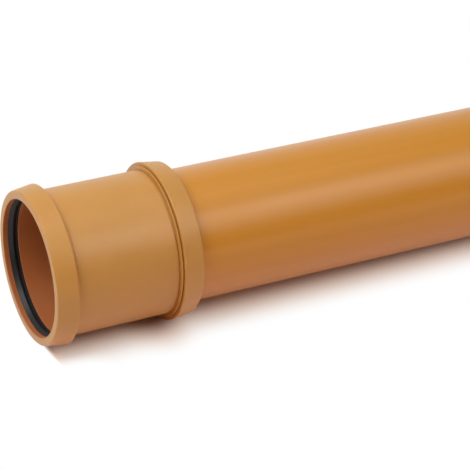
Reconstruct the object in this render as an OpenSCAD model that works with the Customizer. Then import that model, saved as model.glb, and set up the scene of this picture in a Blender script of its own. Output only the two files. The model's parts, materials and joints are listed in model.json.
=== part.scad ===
// Plastic ventilation pipe with a double-socket coupler pushed onto one end.
// The pipe lies along X with the open socket at the -X end, as it comes to rest on a level floor:
// the coupler's inner collar and the pipe's far end touch the ground, so the axis dips a little.

/* [Pipe] */
// Outside diameter of the pipe
pipe_d = 160; // [110:1:200]
// Wall of the pipe
pipe_wall = 6.2; // [3.6:0.1:9]
// Length of the pipe, end to end
pipe_length = 1000; // [500:10:3000]
// Length of the bevel on each end of the pipe
bevel_length = 7; // [4:0.5:10]
// Angle of that bevel to the pipe's axis
bevel_angle = 15; // [10:1:18]

/* [Coupler body] */
// Length of the coupler over its two retaining rings
coupler_length = 183; // [150:1:260]
// Wall of the coupler's sleeve
coupler_wall = 6.6; // [5.6:0.1:9]
// Radial clearance of the coupler's bore over the pipe
pipe_clearance = 0.4; // [0.2:0.05:0.7]
// Width of the stop rib at mid-length, which the pipe is pushed against
stop_width = 5; // [3:0.5:12]
// Height of the stop rib above the bore
stop_height = 4.5; // [2:0.1:6]
// Lead-in bevel where the bore opens into the seal's seat
bore_lead_in = 0.6; // [0.4:0.1:2]

/* [Coupler ends] */
// Rise of the bell, the seat under each retaining ring, above the sleeve
bell_rise = 1; // [0.4:0.1:2]
// Wall of the bell around the seal
bell_wall = 2.5; // [1.8:0.1:3.4]
// Rise of the flange behind each retaining ring above the sleeve
flange_rise = 4.6; // [3:0.1:6]
// Width of that flange
flange_width = 1.8; // [1.4:0.1:6]
// Open seam between the flange and the retaining ring
seam_width = 1; // [0.4:0.1:2]
// Width of the relief groove in the sleeve at the foot of the flange
relief_width = 1.6; // [1.4:0.1:4]
// Depth of that groove
relief_depth = 1; // [1:0.1:2.4]
// Rounding of the groove's floor
relief_round = 0.4; // [0.2:0.1:0.5]

/* [Retaining ring] */
// Length of a retaining ring from its lip to its back edge
ring_length = 25.5; // [23:0.5:36]
// Thickness of the ring's front wall, which holds the seal in
ring_front = 6.4; // [4:0.1:7]
// Rise of the ring's lip above the sleeve
lip_rise = 5.2; // [3:0.1:6]
// Rise of the ring's crest, at its back edge, above the sleeve
crest_rise = 9; // [7:0.1:12]
// Radial clearance of the mouth over the pipe
mouth_clearance = 2.2; // [1:0.1:3]
// Radial clearance between ring and bell
ring_clearance = 0.15; // [0.05:0.05:0.3]
// Rounding of the lip's outer edge
lip_round = 2; // [0.6:0.1:3]
// Rounding of the mouth's edge
mouth_round = 0.9; // [0.3:0.1:1.5]
// Rounding of the crest
crest_round = 1.1; // [0.4:0.1:2]

/* [Snap bead] */
// Height of the bead on the bell that the ring snaps over
snap_height = 0.8; // [0.4:0.1:1.2]
// Width of the bead
snap_width = 4; // [3:0.1:5]

/* [Seal] */
// Width of the seal along the pipe
seal_width = 12; // [10:0.5:13]
// Radial clearance of the seal in its seat
seal_clearance = 0.1; // [0.05:0.05:0.2]
// Radial gap between the sealing lip, as pressed back, and a pipe
lip_gap = 0.15; // [0.1:0.05:0.3]
// Depth of the seal's front edge and of the hollow behind its lip, measured from the lip
seal_relief = 2.4; // [1.5:0.1:2.8]
// Distance from the seal's front to its lip
lip_setback = 5.4; // [3:0.1:6]
// Width of the lip's crest
lip_width = 1.2; // [0.8:0.1:2]
// Width of the heel at the back of the seal
heel_width = 2.2; // [1.5:0.1:3]
// Rise of the heel above the coupler's bore
heel_rise = 0.3; // [0.2:0.1:1]
// Width of the slopes between lip, hollow and heel
hollow_slope = 0.7; // [0.5:0.1:1]

/* [Edges] */
// Rounding of the small moulded edges
edge_round = 0.4; // [0.1:0.05:0.5]

/* [Hidden] */

pipe_colour = "#cb8a34";
coupler_colour = "#c9955a";
rubber_colour = "#37363a";

turn_sides = 180;
arc_steps = 6;

pipe_r = pipe_d / 2;
pipe_bore_r = pipe_r - pipe_wall;
bevel_depth = bevel_length * tan(bevel_angle);

bore_r = pipe_r + pipe_clearance;
sleeve_r = bore_r + coupler_wall;
stop_r = bore_r - stop_height;
bell_r = sleeve_r + bell_rise;
seat_r = bell_r - bell_wall;
flange_r = sleeve_r + flange_rise;
seat_end = ring_front + seal_width;
flange_start = ring_length + seam_width;
flange_end = flange_start + flange_width;
relief_end = flange_end + relief_width;
relief_r = sleeve_r - relief_depth;

mouth_r = pipe_r + mouth_clearance;
lip_r = sleeve_r + lip_rise;
crest_r = sleeve_r + crest_rise;
ring_bore_r = bell_r + ring_clearance;
snap_middle = (ring_front + ring_length) / 2;

seal_out_r = seat_r - seal_clearance;
seal_lip_r = pipe_r + lip_gap;
seal_deep_r = seal_lip_r + seal_relief;
hollow_start = ring_front + lip_setback + lip_width + hollow_slope;
hollow_end = seat_end - heel_width - hollow_slope;
seal_heel_r = bore_r + heel_rise;

coupler_middle = coupler_length / 2;
pipe_start = coupler_middle + stop_width / 2;
pipe_end = pipe_start + pipe_length;

// A corner is [distance from the mouth, radius, rounding]
function place(corner) = [corner[0], corner[1]];
function unit(v) = v / norm(v);
function half_angle(a, p, b) = acos(unit(a - p) * unit(b - p)) / 2;

// Centre of the arc of radius r that rounds the corner p between a and b
function arc_centre(a, p, b, r) = p + unit(unit(a - p) + unit(b - p)) * r / sin(half_angle(a, p, b));

// Points of that arc, from the side of a to the side of b
function corner_arc(a, p, b, r) =
    let (centre = arc_centre(a, p, b, r),
         reach = r / tan(half_angle(a, p, b)),
         first = p + unit(a - p) * reach - centre,
         last = p + unit(b - p) * reach - centre,
         start = atan2(first[1], first[0]),
         sweep = atan2(cross(first, last), first * last))
    [for (i = [0 : arc_steps]) let (t = start + sweep * i / arc_steps) centre + r * [cos(t), sin(t)]];

// Closed outline with the corners rounded
function rounded(corners) =
    let (n = len(corners))
    [for (i = [0 : n - 1])
        let (a = place(corners[(i + n - 1) % n]), p = place(corners[i]), b = place(corners[(i + 1) % n]))
        each corners[i][2] > 0 ? corner_arc(a, p, b, corners[i][2]) : [p]];

// The same corners seen from the coupler's other end
function from_far_end(corners) =
    [for (i = [len(corners) - 1 : -1 : 0]) [coupler_length - corners[i][0], corners[i][1], corners[i][2]]];

// Bead on the bell, or the groove for it in the ring, on radius r with this much room at each side
function snap_corners(r, room) = [
    [snap_middle + snap_width / 2 + room, r, 0],
    [snap_middle, r + snap_height, 0],
    [snap_middle - snap_width / 2 - room, r, 0],
];

ring_corners = concat(
    [[0, mouth_r, mouth_round],
     [0, lip_r, lip_round],
     [ring_length, crest_r, crest_round],
     [ring_length, ring_bore_r, edge_round]],
    snap_corners(ring_bore_r, ring_clearance),
    [[ring_front, ring_bore_r, 0],
     [ring_front, mouth_r, edge_round]]);

// One half of the coupler's body, from the stop rib round the outside to the bell and back along the bore
body_half = concat(
    [[relief_end, sleeve_r, edge_round],
     [relief_end, relief_r, relief_round],
     [flange_end, relief_r, relief_round],
     [flange_end, flange_r, edge_round],
     [flange_start, flange_r, edge_round],
     [flange_start, bell_r, 0]],
    snap_corners(bell_r, 0),
    [[ring_front, bell_r, 0],
     [ring_front, seat_r, 0],
     [seat_end, seat_r, 0],
     [seat_end, bore_r + bore_lead_in, 0],
     [seat_end + bore_lead_in, bore_r, 0],
     [coupler_middle - stop_width / 2, bore_r, 0],
     [coupler_middle - stop_width / 2, stop_r, edge_round]]);

seal_corners = [
    [ring_front, seal_out_r, edge_round],
    [seat_end, seal_out_r, edge_round],
    [seat_end, seal_heel_r, edge_round],
    [hollow_end + hollow_slope, seal_heel_r, edge_round],
    [hollow_end, seal_deep_r, 0],
    [hollow_start, seal_deep_r, 0],
    [hollow_start - hollow_slope, seal_lip_r, edge_round],
    [ring_front + lip_setback, seal_lip_r, edge_round],
    [ring_front, seal_deep_r, edge_round],
];

pipe_corners = [
    [pipe_start, pipe_bore_r, 0],
    [pipe_start, pipe_r - bevel_depth, 0],
    [pipe_start + bevel_length, pipe_r, 0],
    [pipe_end - bevel_length, pipe_r, 0],
    [pipe_end, pipe_r - bevel_depth, 0],
    [pipe_end, pipe_bore_r, 0],
];

// At rest a level floor touches the crest of the inner ring and the last full circle of the pipe
crest_centre = arc_centre([coupler_length, lip_r], [coupler_length - ring_length, crest_r],
                          [coupler_length - ring_length, ring_bore_r], crest_round);
far_touch = [pipe_end - bevel_length, pipe_r];
rest_dip = atan2(crest_centre[1] - far_touch[1], far_touch[0] - crest_centre[0])
    + asin(crest_round / norm(far_touch - crest_centre));
rest_height = (far_touch[0] - pipe_end / 2) * sin(rest_dip) + far_touch[1] * cos(rest_dip);

// Lays a piece that was turned about Z on the floor, with its mouth end at -X
module lying() {
    translate([0, 0, rest_height]) rotate([0, 90 + rest_dip, 0]) translate([0, 0, -pipe_end / 2]) children();
}

module turned(corners) {
    rotate_extrude($fn = turn_sides) polygon([for (point = rounded(corners)) [point[1], point[0]]]);
}

module pipe() {
    color(pipe_colour) lying() turned(pipe_corners);
}

module coupler_body() {
    color(coupler_colour) lying() turned(concat(body_half, from_far_end(body_half)));
}

module mouth_retaining_ring() {
    color(coupler_colour) lying() turned(ring_corners);
}

module pipe_retaining_ring() {
    color(coupler_colour) lying() turned(from_far_end(ring_corners));
}

module mouth_seal() {
    color(rubber_colour) lying() turned(seal_corners);
}

module pipe_seal() {
    color(rubber_colour) lying() turned(from_far_end(seal_corners));
}

pipe();
coupler_body();
mouth_retaining_ring();
pipe_retaining_ring();
mouth_seal();
pipe_seal();
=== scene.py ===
import json
import math

import bmesh
import bpy
from mathutils import Matrix, Vector


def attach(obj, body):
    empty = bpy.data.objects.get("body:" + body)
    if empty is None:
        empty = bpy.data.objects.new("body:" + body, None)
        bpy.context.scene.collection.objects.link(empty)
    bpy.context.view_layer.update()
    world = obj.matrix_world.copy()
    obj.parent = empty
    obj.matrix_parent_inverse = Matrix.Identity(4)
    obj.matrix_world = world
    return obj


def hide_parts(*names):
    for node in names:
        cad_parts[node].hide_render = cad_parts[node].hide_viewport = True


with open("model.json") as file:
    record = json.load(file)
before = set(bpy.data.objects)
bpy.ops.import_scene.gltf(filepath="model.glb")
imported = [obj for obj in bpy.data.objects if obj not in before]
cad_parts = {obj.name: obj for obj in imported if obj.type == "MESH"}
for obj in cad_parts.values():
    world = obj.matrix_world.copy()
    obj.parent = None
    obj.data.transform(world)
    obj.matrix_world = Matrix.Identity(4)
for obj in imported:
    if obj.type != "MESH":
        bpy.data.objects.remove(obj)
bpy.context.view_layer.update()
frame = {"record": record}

# The pipe: one length of orange-brown plastic, extruded through a round die, sawn square and
# bevelled on both ends with a turning tool. Its near end is pushed into the coupler as far as the
# stop rib, and its far end rests on the floor.
mm_per_m = 1000
mounts = {mount["name"]: mount for mount in frame["record"]["mounts"]}
pipe_radius = mounts["spigot"]["dims"]["r_mm"] / mm_per_m
pipe_bore_radius = mounts["pipe_bore"]["dims"]["r_mm"] / mm_per_m
pipe_length = mounts["pipe_bore"]["dims"]["length_mm"] / mm_per_m
bevel_length = 0.007
bevel_angle = math.radians(15)
bevel_depth = bevel_length * math.tan(bevel_angle)
coupler_length = 0.183
stop_width = 0.005
pipe_start = (coupler_length + stop_width) / 2
pipe_end = pipe_start + pipe_length
pipe_dark = (0.562, 0.224, 0.015)
pipe_light = (0.592, 0.239, 0.019)

out_of_mouth = Vector(mounts["socket"]["axis"]).normalized()
mouth_centre = Vector(mounts["socket"]["pos_m"]) + out_of_mouth * (coupler_length - stop_width) / 2
into_mouth = (-out_of_mouth).to_track_quat("X", "Z").to_matrix().to_4x4()
lying = Matrix.Translation(mouth_centre) @ into_mouth

turn_steps = 240
round_steps = 6
merge_distance = 1e-6
hard_edge = math.radians(32)
noise_low = 0.25
noise_high = 0.75


def turned_piece(name, corners):
    """A piece turned about the pipe's axis, each corner being a distance from the mouth, a radius and
    a rounding."""
    bm = bmesh.new()
    profile = [bm.verts.new((along, 0, radius)) for along, radius, _ in corners]
    for start, end in zip(profile, profile[1:] + profile[:1]):
        bm.edges.new((start, end))
    for corner, (_, _, rounding) in zip(profile, corners):
        if rounding:
            to_a, to_b = [(edge.other_vert(corner).co - corner.co) for edge in corner.link_edges]
            reach = rounding / math.tan(to_a.angle(to_b) / 2)
            bmesh.ops.bevel(bm, geom=[corner], offset=reach, offset_type="OFFSET", segments=round_steps,
                            profile=0.5, affect="VERTICES", material=-1)
    bmesh.ops.spin(bm, geom=bm.verts[:] + bm.edges[:], cent=(0, 0, 0), axis=(1, 0, 0), angle=math.tau,
                   steps=turn_steps, use_merge=True)
    bmesh.ops.remove_doubles(bm, verts=bm.verts[:], dist=merge_distance)
    bmesh.ops.recalc_face_normals(bm, faces=bm.faces[:])
    bmesh.ops.transform(bm, matrix=lying, verts=bm.verts[:])
    mesh = bpy.data.meshes.new(name)
    bm.to_mesh(mesh)
    bm.free()
    mesh.shade_smooth()
    mesh.set_sharp_from_angle(angle=hard_edge)
    piece = bpy.data.objects.new(name, mesh)
    bpy.context.scene.collection.objects.link(piece)
    weighted = piece.modifiers.new("flat_faces", "WEIGHTED_NORMAL")
    weighted.keep_sharp = True
    return piece


def stand_for(piece, node, material):
    """The piece takes the place of its solid and gets its finish."""
    piece.data.materials.append(material)
    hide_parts(node)
    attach(piece, "root")


def material_along_pipe(name):
    """A material with its shader and its coordinates, x being the distance from the mouth."""
    material = bpy.data.materials.new(name)
    material.use_nodes = True
    nodes, links = material.node_tree.nodes, material.node_tree.links
    shader = nodes["Principled BSDF"]
    place = nodes.new("ShaderNodeTexCoord")
    axis = nodes.new("ShaderNodeMapping")
    axis.vector_type = "TEXTURE"
    axis.inputs["Location"].default_value = lying.to_translation()
    axis.inputs["Rotation"].default_value = lying.to_euler()
    links.new(place.outputs["Object"], axis.inputs["Vector"])
    return material, nodes, links, shader, axis.outputs["Vector"]


def noise(nodes, links, coordinates, scale, detail, stretch=(1, 1, 1)):
    """Noise of so many cells a metre, stretched by dividing its frequency along each axis."""
    size = nodes.new("ShaderNodeMapping")
    size.inputs["Scale"].default_value = [scale / part for part in stretch]
    links.new(coordinates, size.inputs["Vector"])
    texture = nodes.new("ShaderNodeTexNoise")
    texture.inputs["Scale"].default_value = 1
    texture.inputs["Detail"].default_value = detail
    links.new(size.outputs["Vector"], texture.inputs["Vector"])
    return texture.outputs["Fac"]


def ramp(nodes, links, factor, low, high, start=noise_low, end=noise_high, kind="EASE"):
    """Two colours spread over a factor, or over the middle of a noise."""
    node = nodes.new("ShaderNodeValToRGB")
    node.color_ramp.interpolation = kind
    node.color_ramp.elements[0].position = start
    node.color_ramp.elements[0].color = (*low, 1)
    node.color_ramp.elements[1].position = end
    node.color_ramp.elements[1].color = (*high, 1)
    links.new(factor, node.inputs["Fac"])
    return node.outputs["Color"]


def supply(links, value, socket):
    """Gives a socket another socket's value, or a number."""
    if isinstance(value, bpy.types.NodeSocket):
        links.new(value, socket)
    else:
        socket.default_value = value


def eased(nodes, links, value, start, end, low=0, high=1):
    """A smooth step from low to high as a value goes from start to end."""
    node = nodes.new("ShaderNodeMapRange")
    node.interpolation_type = "SMOOTHSTEP"
    names = ("Value", "From Min", "From Max", "To Min", "To Max")
    for source, name in zip((value, start, end, low, high), names):
        supply(links, source, node.inputs[name])
    return node.outputs["Result"]


def bump(nodes, links, height, depth, strength, before=None):
    """Relief of that depth in metres, on top of another relief if one is given."""
    node = nodes.new("ShaderNodeBump")
    node.inputs["Distance"].default_value = depth
    node.inputs["Strength"].default_value = strength
    links.new(height, node.inputs["Height"])
    if before:
        links.new(before, node.inputs["Normal"])
    return node.outputs["Normal"]


pipe_plastic, nodes, links, shader, along_pipe = material_along_pipe("extruded_pipe_plastic")
die_lines = noise(nodes, links, along_pipe, scale=900, detail=3, stretch=(400, 1, 1))
die_bands = noise(nodes, links, along_pipe, scale=60, detail=2, stretch=(120, 1, 1))
wander = noise(nodes, links, along_pipe, scale=22, detail=3, stretch=(3, 1, 1))
colour = ramp(nodes, links, die_bands, pipe_dark, pipe_light)
links.new(colour, shader.inputs["Base Color"])
polish = eased(nodes, links, wander, noise_low, noise_high, low=0.34, high=0.4)
links.new(polish, shader.inputs["Roughness"])
relief = bump(nodes, links, die_lines, depth=0.00004, strength=0.25)
relief = bump(nodes, links, wander, depth=0.0004, strength=0.12, before=relief)
links.new(relief, shader.inputs["Normal"])
shader.inputs["IOR"].default_value = 1.45
shader.inputs["Coat Weight"].default_value = 0.25
shader.inputs["Coat Roughness"].default_value = 0.27

pipe = turned_piece("extruded_pipe", [
    (pipe_start, pipe_bore_radius, 0),
    (pipe_start, pipe_radius - bevel_depth, 0),
    (pipe_start + bevel_length, pipe_radius, 0),
    (pipe_end - bevel_length, pipe_radius, 0),
    (pipe_end, pipe_radius - bevel_depth, 0),
    (pipe_end, pipe_bore_radius, 0),
])
stand_for(pipe, "pipe", pipe_plastic)

# The coupler's body: a sleeve injection-moulded in the same colour with a matt, finely eroded mould
# surface, and a darker, redder painted shade on the faces inside its bore. Each end is a bell with a
# snap bead and a flange, and a stop rib runs round its middle.
coupler_wall = 0.0066
stop_height = 0.0045
bell_rise = 0.001
bell_wall = 0.0025
flange_rise = 0.0046
flange_width = 0.0018
groove_width = 0.0016
groove_depth = 0.001
ring_length = 0.0255
ring_front = 0.0064
seam = 0.001
seal_width = 0.012
lead_in = 0.0006
snap_height = 0.0008
snap_width = 0.004
groove_round = 0.0004
fine_round = 0.0004

bore_radius = mounts["socket"]["dims"]["r_mm"] / mm_per_m
sleeve_radius = bore_radius + coupler_wall
stop_radius = bore_radius - stop_height
bell_radius = sleeve_radius + bell_rise
seat_radius = bell_radius - bell_wall
flange_radius = sleeve_radius + flange_rise
groove_radius = sleeve_radius - groove_depth
seat_end = ring_front + seal_width
flange_start = ring_length + seam
flange_end = flange_start + flange_width
groove_end = flange_end + groove_width
snap_middle = (ring_front + ring_length) / 2

outside_dark = (0.55, 0.262, 0.053)
outside_light = (0.58, 0.277, 0.06)
# Painted shade: the faces inside the bore take a darker, redder copy of the plastic's colour.
painted_bore_shade_dark = (0.465, 0.15, 0.042)
painted_bore_shade_light = (0.495, 0.162, 0.049)
inside_ends = 0.0825
outside_starts = 0.084


def from_far_end(corners):
    """The same corners seen from the coupler's other end."""
    return [(coupler_length - along, radius, rounding) for along, radius, rounding in reversed(corners)]


def snap_corners(radius, room):
    """The snap bead on the bell, or the groove for it in the ring."""
    return [
        (snap_middle + snap_width / 2 + room, radius, 0),
        (snap_middle, radius + snap_height, 0),
        (snap_middle - snap_width / 2 - room, radius, 0),
    ]


def split(nodes, links, coordinates):
    """The x, y and z of a place or a direction."""
    node = nodes.new("ShaderNodeSeparateXYZ")
    links.new(coordinates, node.inputs[0])
    return node.outputs["X"], node.outputs["Y"], node.outputs["Z"]


def distance(nodes, links, one_way, other_way):
    """How far off a place is that lies so far one way and so far the other."""
    offset = nodes.new("ShaderNodeCombineXYZ")
    links.new(one_way, offset.inputs["X"])
    links.new(other_way, offset.inputs["Y"])
    length = nodes.new("ShaderNodeVectorMath")
    length.operation = "LENGTH"
    links.new(offset.outputs["Vector"], length.inputs[0])
    return length.outputs["Value"]


def mixed(nodes, links, factor, low, high, kind):
    """Two colours or numbers mixed by a factor."""
    node = nodes.new("ShaderNodeMix")
    node.data_type = kind
    open_sockets = [socket for socket in node.inputs if socket.enabled]
    for source, socket in zip((factor, low, high), open_sockets):
        links.new(source, socket)
    return next(socket for socket in node.outputs if socket.enabled)


body_half = [
    (groove_end, sleeve_radius, fine_round),
    (groove_end, groove_radius, groove_round),
    (flange_end, groove_radius, groove_round),
    (flange_end, flange_radius, fine_round),
    (flange_start, flange_radius, fine_round),
    (flange_start, bell_radius, 0),
    *snap_corners(bell_radius, 0),
    (ring_front, bell_radius, 0),
    (ring_front, seat_radius, 0),
    (seat_end, seat_radius, 0),
    (seat_end, bore_radius + lead_in, 0),
    (seat_end + lead_in, bore_radius, 0),
    (pipe_start - stop_width, bore_radius, 0),
    (pipe_start - stop_width, stop_radius, fine_round),
]

coupler_plastic, nodes, links, shader, along_pipe = material_along_pipe("moulded_coupler_plastic")
grain = noise(nodes, links, along_pipe, scale=1500, detail=4)
flow = noise(nodes, links, along_pipe, scale=26, detail=4, stretch=(2, 1, 1))
_, sideways, upwards = split(nodes, links, along_pipe)
from_axis = distance(nodes, links, sideways, upwards)
outside = eased(nodes, links, from_axis, inside_ends, outside_starts)
outside_colour = ramp(nodes, links, flow, outside_dark, outside_light)
# Faces near the axis, the bore and the collars' mouth walls, take the darker, redder painted shade.
painted_bore_shade_colour = ramp(nodes, links, flow, painted_bore_shade_dark, painted_bore_shade_light)
colour = mixed(nodes, links, outside, painted_bore_shade_colour, outside_colour, "RGBA")
links.new(colour, shader.inputs["Base Color"])
inside_polish = eased(nodes, links, flow, noise_low, noise_high, low=0.42, high=0.48)
outside_polish = eased(nodes, links, flow, noise_low, noise_high, low=0.38, high=0.44)
polish = mixed(nodes, links, outside, inside_polish, outside_polish, "FLOAT")
links.new(polish, shader.inputs["Roughness"])
relief = bump(nodes, links, grain, depth=0.00006, strength=0.3)
relief = bump(nodes, links, flow, depth=0.0003, strength=0.1, before=relief)
links.new(relief, shader.inputs["Normal"])
shader.inputs["IOR"].default_value = 1.55
shader.inputs["Subsurface Weight"].default_value = 0.4
shader.inputs["Subsurface Radius"].default_value = (1, 0.3, 0.08)
shader.inputs["Subsurface Scale"].default_value = 0.003

coupler = turned_piece("coupler_sleeve", body_half + from_far_end(body_half))
stand_for(coupler, "coupler_body", coupler_plastic)

# The lip seals: black moulded rubber rings that lie in the bells. Each has a sloped front that leads
# the pipe in, a sealing lip, a hollow behind it and a heel that bears on the end of the bore.
seat_clearance = 0.0001
lip_clearance = 0.00015
hollow_depth = 0.0024
heel_rise = 0.0003
heel_width = 0.0022
front_width = 0.0054
lip_width = 0.0012
slope = 0.0007
seal_outer = seat_radius - seat_clearance
seal_lip = pipe_radius + lip_clearance
seal_deep = seal_lip + hollow_depth
seal_heel = bore_radius + heel_rise
lip_start = ring_front + front_width
lip_end = lip_start + lip_width
heel_start = seat_end - heel_width
rubber_dark = (0.013, 0.013, 0.015)
rubber_light = (0.021, 0.021, 0.024)
seal_corners = [
    (ring_front, seal_outer, fine_round),
    (seat_end, seal_outer, fine_round),
    (seat_end, seal_heel, fine_round),
    (heel_start, seal_heel, fine_round),
    (heel_start - slope, seal_deep, 0),
    (lip_end + slope, seal_deep, 0),
    (lip_end, seal_lip, fine_round),
    (lip_start, seal_lip, fine_round),
    (ring_front, seal_deep, fine_round),
]

seal_rubber, nodes, links, shader, along_pipe = material_along_pipe("moulded_seal_rubber")
skin = noise(nodes, links, along_pipe, scale=700, detail=4)
bloom = noise(nodes, links, along_pipe, scale=45, detail=4)
colour = ramp(nodes, links, bloom, rubber_dark, rubber_light)
links.new(colour, shader.inputs["Base Color"])
polish = eased(nodes, links, bloom, noise_low, noise_high, low=0.42, high=0.5)
links.new(polish, shader.inputs["Roughness"])
relief = bump(nodes, links, skin, depth=0.00008, strength=0.3)
links.new(relief, shader.inputs["Normal"])
shader.inputs["Specular IOR Level"].default_value = 0.35

mouth_seal = turned_piece("mouth_lip_seal", seal_corners)
stand_for(mouth_seal, "mouth_seal", seal_rubber)
pipe_seal = turned_piece("pipe_lip_seal", from_far_end(seal_corners))
stand_for(pipe_seal, "pipe_seal", seal_rubber)

# The retaining rings: collars moulded in the coupler's plastic and snapped over the bells. Their
# front walls hold the seals in, and their outsides rise in a cone to a rounded crest at the back.
mouth_rise = 0.0022
lip_rise = 0.0052
crest_rise = 0.00899
ring_clearance = 0.00015
mouth_round = 0.0009
lip_round = 0.002
crest_round = 0.0011
mouth_radius = pipe_radius + mouth_rise
lip_radius = sleeve_radius + lip_rise
crest_radius = sleeve_radius + crest_rise
ring_bore = bell_radius + ring_clearance
ring_corners = [
    (0, mouth_radius, mouth_round),
    (0, lip_radius, lip_round),
    (ring_length, crest_radius, crest_round),
    (ring_length, ring_bore, fine_round),
    *snap_corners(ring_bore, ring_clearance),
    (ring_front, ring_bore, 0),
    (ring_front, mouth_radius, fine_round),
]
mouth_ring = turned_piece("mouth_collar", ring_corners)
stand_for(mouth_ring, "mouth_retaining_ring", coupler_plastic)
pipe_ring = turned_piece("pipe_collar", from_far_end(ring_corners))
stand_for(pipe_ring, "pipe_retaining_ring", coupler_plastic)

# The studio: a pale floor with a painted shadow band along the pipe, a warm painted shade over the
# lamps' real shadow, that runs out into pure white, a white backdrop and a dark room behind the camera.
# Soft lamps hang high on the left and overhead, and a wide one and a smaller one over the camera's
# side.
floor_size = 15
floor_by_mouth = (0.86, 0.84, 0.8)
# The floor's warm colour near the pipe is painted shadow where the camera sees it, and it warms the
# bounce.
warm_floor_and_painted_shadow = (0.86, 0.57, 0.38)
white = (1, 1, 1)
# A warm tint painted into the shadow's fringe.
shadow_warmth = (1, 0.88, 0.76)
shadow_fades = 0.95
shadow_reach = 0.092
mirrored_reach = 0.025
shadow_end = 0.533
end_steepness = 10
inner_collar = -0.4
collar_spread = 0.05
collar_shade = 0.012
past_coupler = -0.36
coupler_shade = 0.006
fringe_start = 0.045
dark_wall = (0.03, 0.03, 0.03)
lit_wall = (0.68, 0.68, 0.68)
scene = bpy.context.scene


def worked(nodes, links, operation, *values):
    """A sum worked out from sockets or numbers."""
    node = nodes.new("ShaderNodeMath")
    node.operation = operation
    for value, socket in zip(values, node.inputs):
        supply(links, value, socket)
    return node.outputs["Value"]


def whitened(nodes, links, share, lit, blank, output):
    """Shows pure white in place of that share of what the lamps light."""
    blend = nodes.new("ShaderNodeMixShader")
    links.new(share, blend.inputs[0])
    links.new(lit.outputs[0], blend.inputs[1])
    links.new(blank.outputs[0], blend.inputs[2])
    links.new(blend.outputs[0], nodes[output].inputs["Surface"])


floor_mesh = bpy.data.meshes.new("studio_floor")
bm = bmesh.new()
bmesh.ops.create_grid(bm, x_segments=1, y_segments=1, size=floor_size)
bm.to_mesh(floor_mesh)
bm.free()
floor = bpy.data.objects.new("studio_floor", floor_mesh)
scene.collection.objects.link(floor)

floor_white = bpy.data.materials.new("white_floor")
floor_white.use_nodes = True
nodes, links = floor_white.node_tree.nodes, floor_white.node_tree.links
painted = nodes["Principled BSDF"]
painted.inputs["Roughness"].default_value = 0.9
painted.inputs["Specular IOR Level"].default_value = 0.2
place = nodes.new("ShaderNodeTexCoord")
lengthways, sideways, _ = split(nodes, links, place.outputs["Object"])
by_mouth = eased(nodes, links, lengthways, start=-0.68, end=-0.54)
colour = ramp(nodes, links, by_mouth, floor_by_mouth, warm_floor_and_painted_shadow)
links.new(colour, painted.inputs["Base Color"])

# Painted shadow: within a reach of the pipe's line the floor shows its warm lit colour instead of
# white. The band is widened by the coupler and most by the inner collar, and cut short past the ends
# and by the mouth's lip.
from_middle = worked(nodes, links, "ABSOLUTE", lengthways)
past_end = worked(nodes, links, "SUBTRACT", from_middle, shadow_end)
past_end = worked(nodes, links, "MAXIMUM", past_end, 0)
past_end = worked(nodes, links, "MULTIPLY", past_end, end_steepness)
reach = distance(nodes, links, past_end, sideways)
by_coupler = eased(nodes, links, lengthways, inner_collar, past_coupler, low=coupler_shade, high=0)
from_collar = worked(nodes, links, "SUBTRACT", lengthways, inner_collar)
from_collar = worked(nodes, links, "ABSOLUTE", from_collar)
by_collar = eased(nodes, links, from_collar, 0, collar_spread, low=collar_shade, high=0)
shaded = worked(nodes, links, "ADD", by_coupler, by_collar)
reach = worked(nodes, links, "SUBTRACT", reach, shaded)
by_lip = eased(nodes, links, lengthways, start=-0.53, end=-0.47, low=1, high=0)
fringe = worked(nodes, links, "SUBTRACT", reach, fringe_start)
fringe = worked(nodes, links, "MAXIMUM", fringe, 0)
fringe = worked(nodes, links, "MULTIPLY", fringe, by_lip)
reach = worked(nodes, links, "ADD", reach, fringe)

ray = nodes.new("ShaderNodeLightPath")
mirrored = ray.outputs["Is Glossy Ray"]
whole = worked(nodes, links, "MULTIPLY", mirrored, mirrored_reach)
whole = worked(nodes, links, "ADD", whole, shadow_reach)
away = eased(nodes, links, reach, 0, whole)
seen = worked(nodes, links, "MAXIMUM", ray.outputs["Is Camera Ray"], mirrored)
share = worked(nodes, links, "MULTIPLY", away, seen)
# Painted shadow edge: the white turns warm towards the pipe.
white_and_painted_shadow_edge = nodes.new("ShaderNodeEmission")
painted_shadow_edge_colour = ramp(nodes, links, away, shadow_warmth, white, start=0, end=shadow_fades, kind="LINEAR")
links.new(painted_shadow_edge_colour, white_and_painted_shadow_edge.inputs["Color"])
whitened(nodes, links, share, painted, white_and_painted_shadow_edge, "Material Output")
floor_mesh.materials.append(floor_white)


def studio_lamp(name, place, aim, width, depth, radiance):
    """A soft rectangular lamp of even brightness that points at a place."""
    lamp = bpy.data.lights.new(name, "AREA")
    lamp.shape = "RECTANGLE"
    lamp.size = width
    lamp.size_y = depth
    lamp.energy = radiance * math.pi * width * depth
    holder = bpy.data.objects.new(name, lamp)
    holder.location = place
    holder.rotation_euler = (Vector(aim) - Vector(place)).to_track_quat("-Z", "Y").to_euler()
    scene.collection.objects.link(holder)


studio_lamp("left_lamp", place=(-1.55, -0.22, 1.84), aim=(-0.1, 0, 0.1),
            width=1.4, depth=1.4, radiance=5.1)
studio_lamp("overhead_lamp", place=(0, -0.15, 2.1), aim=(0, 0, 0.1),
            width=1.8, depth=1.4, radiance=1)
studio_lamp("camera_side_lamp", place=(1.1, -1.4, 1.55), aim=(0.3, 0, 0.08),
            width=2.4, depth=1.4, radiance=1.7)
studio_lamp("near_lamp", place=(0.46, -1.49, 1.81), aim=(-0.15, 0, 0.1),
            width=1.3, depth=0.95, radiance=1.6)

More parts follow.
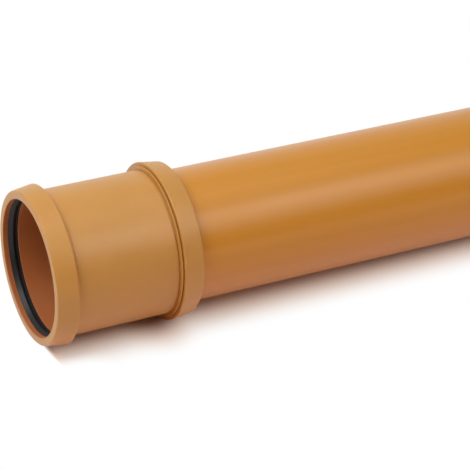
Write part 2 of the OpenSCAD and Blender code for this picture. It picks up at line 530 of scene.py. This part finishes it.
world = bpy.data.worlds.new("studio")
scene.world = world
world.use_nodes = True
nodes, links = world.node_tree.nodes, world.node_tree.links
room = nodes["Background"]
direction = nodes.new("ShaderNodeTexCoord")
_, backwards, _ = split(nodes, links, direction.outputs["Generated"])
behind = eased(nodes, links, backwards, start=-0.2, end=0.9)
walls = ramp(nodes, links, behind, dark_wall, lit_wall, start=0, end=1, kind="LINEAR")
links.new(walls, room.inputs["Color"])
room.inputs["Strength"].default_value = 1
white_out = nodes.new("ShaderNodeBackground")
white_out.inputs["Color"].default_value = (*white, 1)
white_out.inputs["Strength"].default_value = 1
low_behind = nodes.new("ShaderNodeVectorMath")
low_behind.operation = "DOT_PRODUCT"
low_behind.inputs[1].default_value = (0, 1, -0.8)
links.new(direction.outputs["Generated"], low_behind.inputs[0])
backdrop = eased(nodes, links, low_behind.outputs["Value"], start=0.1, end=0.8)
ray = nodes.new("ShaderNodeLightPath")
mirrored = worked(nodes, links, "MULTIPLY", ray.outputs["Is Glossy Ray"], backdrop)
seen = worked(nodes, links, "MAXIMUM", ray.outputs["Is Camera Ray"], mirrored)
whitened(nodes, links, seen, room, white_out, "World Output")

# The camera: it stands at the photograph's viewing angle, about 2.4 m from the socket's mouth, with a
# long lens and no depth of field. The mouth's offsets from it are to the right, upwards and ahead.
view_turn = math.radians(26.16)
view_down = math.radians(29.1)
mouth_right = -0.23986
mouth_up = -0.03909
mouth_ahead = 2.44521
to_right = Vector((math.cos(view_turn), -math.sin(view_turn), 0))
level_ahead = Vector((math.sin(view_turn), math.cos(view_turn), 0))
ahead = level_ahead * math.cos(view_down) - Vector((0, 0, math.sin(view_down)))
upward = to_right.cross(ahead)
camera = bpy.data.cameras.new("photo_camera")
camera.sensor_width = 36
camera.lens = 161.57
camera.clip_end = 60
viewer = bpy.data.objects.new("photo_camera", camera)
viewer.location = mouth_centre - to_right * mouth_right - upward * mouth_up - ahead * mouth_ahead
viewer.rotation_euler = ahead.to_track_quat("-Z", "Y").to_euler()
scene.collection.objects.link(viewer)
scene.camera = viewer
scene.view_settings.view_transform = "Standard"
